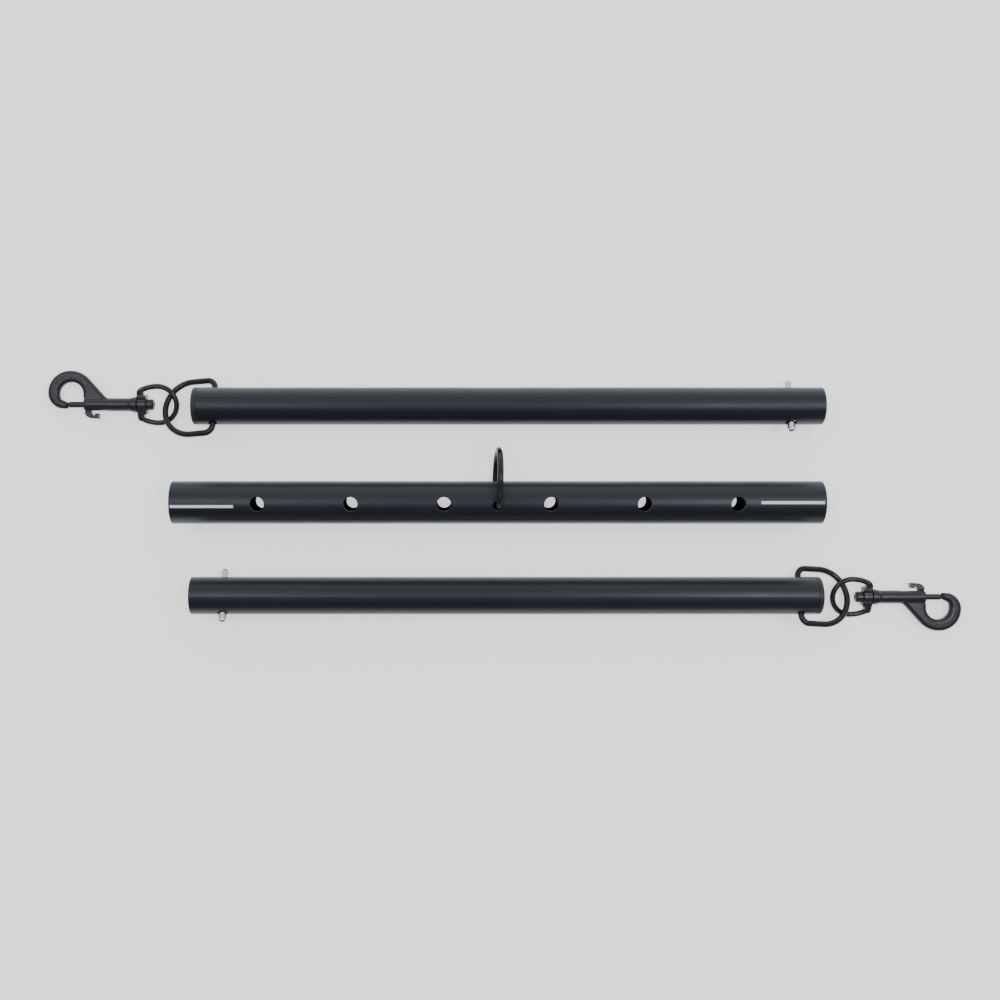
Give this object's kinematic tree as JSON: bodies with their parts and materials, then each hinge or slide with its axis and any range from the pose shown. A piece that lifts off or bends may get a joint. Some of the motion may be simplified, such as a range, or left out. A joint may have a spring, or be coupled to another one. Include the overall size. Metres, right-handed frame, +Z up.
{
  "type": "adjustable spreader bar",
  "caption": "Light telescopic spreader bar in three sections, laid out apart: a perforated centre tube with a D-ring, and outer tubes with snap buttons, D-rings and swivel bolt snaps.",
  "frame": {"origin": "on the floor, in the middle of the layout's footprint", "axes": "+X along the tubes, towards the right section's hook; +Y towards the left section; +Z up"},
  "size_m": [0.5444, 0.1553, 0.0384],
  "materials": {
    "tube_coating": "satin black powder coat",
    "ring_coating": "gloss black",
    "snap_coating": "gloss black over a casting",
    "plug_plastic": "moulded black",
    "button_chrome": "polished",
    "spring_steel": "plain"
  },
  "bodies": {
    "centre_tube": {"centre_tube": "tube_coating"},
    "centre_ring": {"centre_ring": "ring_coating"},
    "left_section": {"left_tube": "tube_coating", "left_end_plug": "plug_plastic", "left_button_spring": "spring_steel"},
    "left_end_ring": {"left_end_ring": "ring_coating"},
    "left_swivel_eye": {"left_swivel_eye": "snap_coating"},
    "left_hook": {"left_hook_body": "snap_coating", "left_swivel_rivet": "snap_coating", "left_latch_spring": "spring_steel"},
    "left_latch_bolt": {"left_latch_bolt": "snap_coating"},
    "left_button_front": {"left_button_front": "button_chrome"},
    "left_button_back": {"left_button_back": "button_chrome"},
    "right_section": {"right_tube": "tube_coating", "right_end_plug": "plug_plastic", "right_button_spring": "spring_steel"},
    "right_end_ring": {"right_end_ring": "ring_coating"},
    "right_swivel_eye": {"right_swivel_eye": "snap_coating"},
    "right_hook": {"right_hook_body": "snap_coating", "right_swivel_rivet": "snap_coating", "right_latch_spring": "spring_steel"},
    "right_latch_bolt": {"right_latch_bolt": "snap_coating"},
    "right_button_front": {"right_button_front": "button_chrome"},
    "right_button_back": {"right_button_back": "button_chrome"}
  },
  "joints": [
    {"name": "centre_ring_swing", "type": "hinge", "parent": "centre_tube", "child": "centre_ring", "pos_m": [-0.0044, -0.0016, 0.0178], "axis": [0.0523, -0.1562, 0.9863], "range_deg": [-55, 59]},
    {"name": "left_length_setting", "type": "slide", "parent": "centre_tube", "child": "left_section", "axis": [1, 0, 0], "range_m": [-0.312, 0]},
    {"name": "left_ring_swing", "type": "hinge", "parent": "left_section", "child": "left_end_ring", "pos_m": [-0.1717, 0.0554, 0.011], "axis": [0, -0.9511, 0.309], "range_deg": [-130, 105]},
    {"name": "left_eye_swing", "type": "hinge", "parent": "left_end_ring", "child": "left_swivel_eye", "pos_m": [-0.2061, 0.0567, 0.00475], "axis": [0, -0.2419, 0.9703], "range_deg": [-32, 32]},
    {"name": "left_hook_swivel", "type": "hinge", "parent": "left_swivel_eye", "child": "left_hook", "pos_m": [-0.2183, 0.0567, 0.00475], "axis": [-1, 0, 0], "continuous": true},
    {"name": "left_latch_slide", "type": "slide", "parent": "left_hook", "child": "left_latch_bolt", "axis": [1, 0, 0], "range_m": [0, 0.0095], "stiffness_N_per_m": 500, "springref_m": -0.004, "deforming": ["left_latch_spring"]},
    {"name": "left_button_front_press", "type": "slide", "parent": "left_section", "child": "left_button_front", "axis": [0, 0.9511, -0.309], "range_m": [0, 0.0055], "stiffness_N_per_m": 600, "springref_m": -0.003, "deforming": ["left_button_spring"]},
    {"name": "left_button_back_press", "type": "slide", "parent": "left_section", "child": "left_button_back", "axis": [0, -0.9511, 0.309], "range_m": [0, 0.0055], "stiffness_N_per_m": 600, "springref_m": -0.003, "deforming": ["left_button_spring"]},
    {"name": "right_length_setting", "type": "slide", "parent": "centre_tube", "child": "right_section", "axis": [1, 0, 0], "range_m": [0, 0.311]},
    {"name": "right_ring_swing", "type": "hinge", "parent": "right_section", "child": "right_end_ring", "pos_m": [0.1748, -0.0567, 0.011], "axis": [0, 0.9511, -0.309], "range_deg": [-130, 105]},
    {"name": "right_eye_swing", "type": "hinge", "parent": "right_end_ring", "child": "right_swivel_eye", "pos_m": [0.2073, -0.058, 0.00475], "axis": [0, -0.2419, 0.9703], "range_deg": [-32, 32]},
    {"name": "right_hook_swivel", "type": "hinge", "parent": "right_swivel_eye", "child": "right_hook", "pos_m": [0.2195, -0.058, 0.00475], "axis": [1, 0, 0], "continuous": true},
    {"name": "right_latch_slide", "type": "slide", "parent": "right_hook", "child": "right_latch_bolt", "axis": [-1, 0, 0], "range_m": [0, 0.0095], "stiffness_N_per_m": 500, "springref_m": -0.004, "deforming": ["right_latch_spring"]},
    {"name": "right_button_front_press", "type": "slide", "parent": "right_section", "child": "right_button_front", "axis": [0, 0.9511, -0.309], "range_m": [0, 0.0055], "stiffness_N_per_m": 600, "springref_m": -0.003, "deforming": ["right_button_spring"]},
    {"name": "right_button_back_press", "type": "slide", "parent": "right_section", "child": "right_button_back", "axis": [0, -0.9511, 0.309], "range_m": [0, 0.0055], "stiffness_N_per_m": 600, "springref_m": -0.003, "deforming": ["right_button_spring"]}
  ]
}
